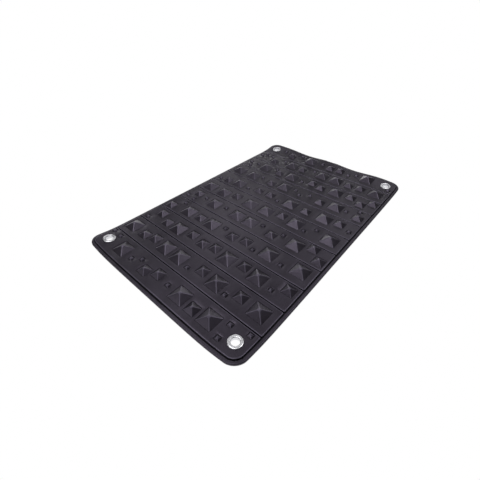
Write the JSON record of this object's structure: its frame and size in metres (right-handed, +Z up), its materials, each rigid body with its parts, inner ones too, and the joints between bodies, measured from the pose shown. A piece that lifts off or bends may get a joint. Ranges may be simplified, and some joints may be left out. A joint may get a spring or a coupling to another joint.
{
  "type": "seedling heat mat",
  "caption": "Roll-up rubber heat mat for seed trays: grooved strips with pyramid studs over a sealed film heater, raised rim, corner eyelets and a flat low-voltage inlet.",
  "frame": {"origin": "centre of the underside, on the surface that the mat lies on", "axes": "+X along the mat's length, across its strips, +Y along the strips, +Z up out of the studded face"},
  "size_m": [0.538, 0.338, 0.014],
  "materials": {
    "panel_rubber": "satin black moulded rubber with a fine grain",
    "base_rubber": "matt black moulded rubber",
    "eyelet_chrome": "bright nickel plate",
    "washer_steel": "plated steel",
    "heater_film": "carbon-printed polyester film with copper bus bars",
    "insulation": "thin felt",
    "socket_plastic": "moulded",
    "cutout_steel": "plated can",
    "contact_brass": "plated",
    "feed_copper": "flat copper strip"
  },
  "bodies": {
    "strip_01": {"stud_panel_01": "panel_rubber", "base_sheet_01": "base_rubber", "heater_film_01": "heater_film", "insulation_01": "insulation", "eyelet_01_a": "eyelet_chrome", "eyelet_washer_01_a": "washer_steel", "eyelet_01_b": "eyelet_chrome", "eyelet_washer_01_b": "washer_steel"},
    "strip_02": {"stud_panel_02": "panel_rubber", "base_sheet_02": "base_rubber", "heater_film_02": "heater_film", "insulation_02": "insulation"},
    "strip_03": {"stud_panel_03": "panel_rubber", "base_sheet_03": "base_rubber", "heater_film_03": "heater_film", "insulation_03": "insulation"},
    "strip_04": {"stud_panel_04": "panel_rubber", "base_sheet_04": "base_rubber", "heater_film_04": "heater_film", "insulation_04": "insulation"},
    "strip_05": {"stud_panel_05": "panel_rubber", "base_sheet_05": "base_rubber", "heater_film_05": "heater_film", "insulation_05": "insulation"},
    "strip_06": {"stud_panel_06": "panel_rubber", "base_sheet_06": "base_rubber", "heater_film_06": "heater_film", "insulation_06": "insulation"},
    "strip_07": {"stud_panel_07": "panel_rubber", "base_sheet_07": "base_rubber", "heater_film_07": "heater_film", "insulation_07": "insulation"},
    "strip_08": {"stud_panel_08": "panel_rubber", "base_sheet_08": "base_rubber", "heater_film_08": "heater_film", "insulation_08": "insulation"},
    "strip_09": {"stud_panel_09": "panel_rubber", "base_sheet_09": "base_rubber", "heater_film_09": "heater_film", "insulation_09": "insulation"},
    "strip_10": {"stud_panel_10": "panel_rubber", "base_sheet_10": "base_rubber", "heater_film_10": "heater_film", "insulation_10": "insulation"},
    "strip_11": {"stud_panel_11": "panel_rubber", "base_sheet_11": "base_rubber", "heater_film_11": "heater_film", "insulation_11": "insulation", "eyelet_11_a": "eyelet_chrome", "eyelet_washer_11_a": "washer_steel", "eyelet_11_b": "eyelet_chrome", "eyelet_washer_11_b": "washer_steel", "power_socket": "socket_plastic", "thermal_cutout": "cutout_steel", "contact_blade_negative": "contact_brass", "contact_blade_positive": "contact_brass", "feed_strip_negative": "feed_copper", "feed_strip_positive": "feed_copper"}
  },
  "joints": [
    {"name": "fold_01_02", "type": "hinge", "parent": "strip_02", "child": "strip_01", "pos_m": [-0.216, 0, 0.0024], "axis": [0, 1, 0], "range_deg": [0, 27], "stiffness_Nm_per_rad": 0.2},
    {"name": "fold_02_03", "type": "hinge", "parent": "strip_03", "child": "strip_02", "pos_m": [-0.168, 0, 0.0024], "axis": [0, 1, 0], "range_deg": [0, 27], "stiffness_Nm_per_rad": 0.2},
    {"name": "fold_03_04", "type": "hinge", "parent": "strip_04", "child": "strip_03", "pos_m": [-0.12, 0, 0.0024], "axis": [0, 1, 0], "range_deg": [0, 27], "stiffness_Nm_per_rad": 0.2},
    {"name": "fold_04_05", "type": "hinge", "parent": "strip_05", "child": "strip_04", "pos_m": [-0.072, 0, 0.0024], "axis": [0, 1, 0], "range_deg": [0, 27], "stiffness_Nm_per_rad": 0.2},
    {"name": "fold_05_06", "type": "hinge", "parent": "strip_06", "child": "strip_05", "pos_m": [-0.024, 0, 0.0024], "axis": [0, 1, 0], "range_deg": [0, 27], "stiffness_Nm_per_rad": 0.2},
    {"name": "fold_06_07", "type": "hinge", "parent": "strip_06", "child": "strip_07", "pos_m": [0.024, 0, 0.0024], "axis": [0, -1, 0], "range_deg": [0, 27], "stiffness_Nm_per_rad": 0.2},
    {"name": "fold_07_08", "type": "hinge", "parent": "strip_07", "child": "strip_08", "pos_m": [0.072, 0, 0.0024], "axis": [0, -1, 0], "range_deg": [0, 27], "stiffness_Nm_per_rad": 0.2},
    {"name": "fold_08_09", "type": "hinge", "parent": "strip_08", "child": "strip_09", "pos_m": [0.12, 0, 0.0024], "axis": [0, -1, 0], "range_deg": [0, 27], "stiffness_Nm_per_rad": 0.2},
    {"name": "fold_09_10", "type": "hinge", "parent": "strip_09", "child": "strip_10", "pos_m": [0.168, 0, 0.0024], "axis": [0, -1, 0], "range_deg": [0, 27], "stiffness_Nm_per_rad": 0.2},
    {"name": "fold_10_11", "type": "hinge", "parent": "strip_10", "child": "strip_11", "pos_m": [0.216, 0, 0.0024], "axis": [0, -1, 0], "range_deg": [0, 27], "stiffness_Nm_per_rad": 0.2}
  ]
}
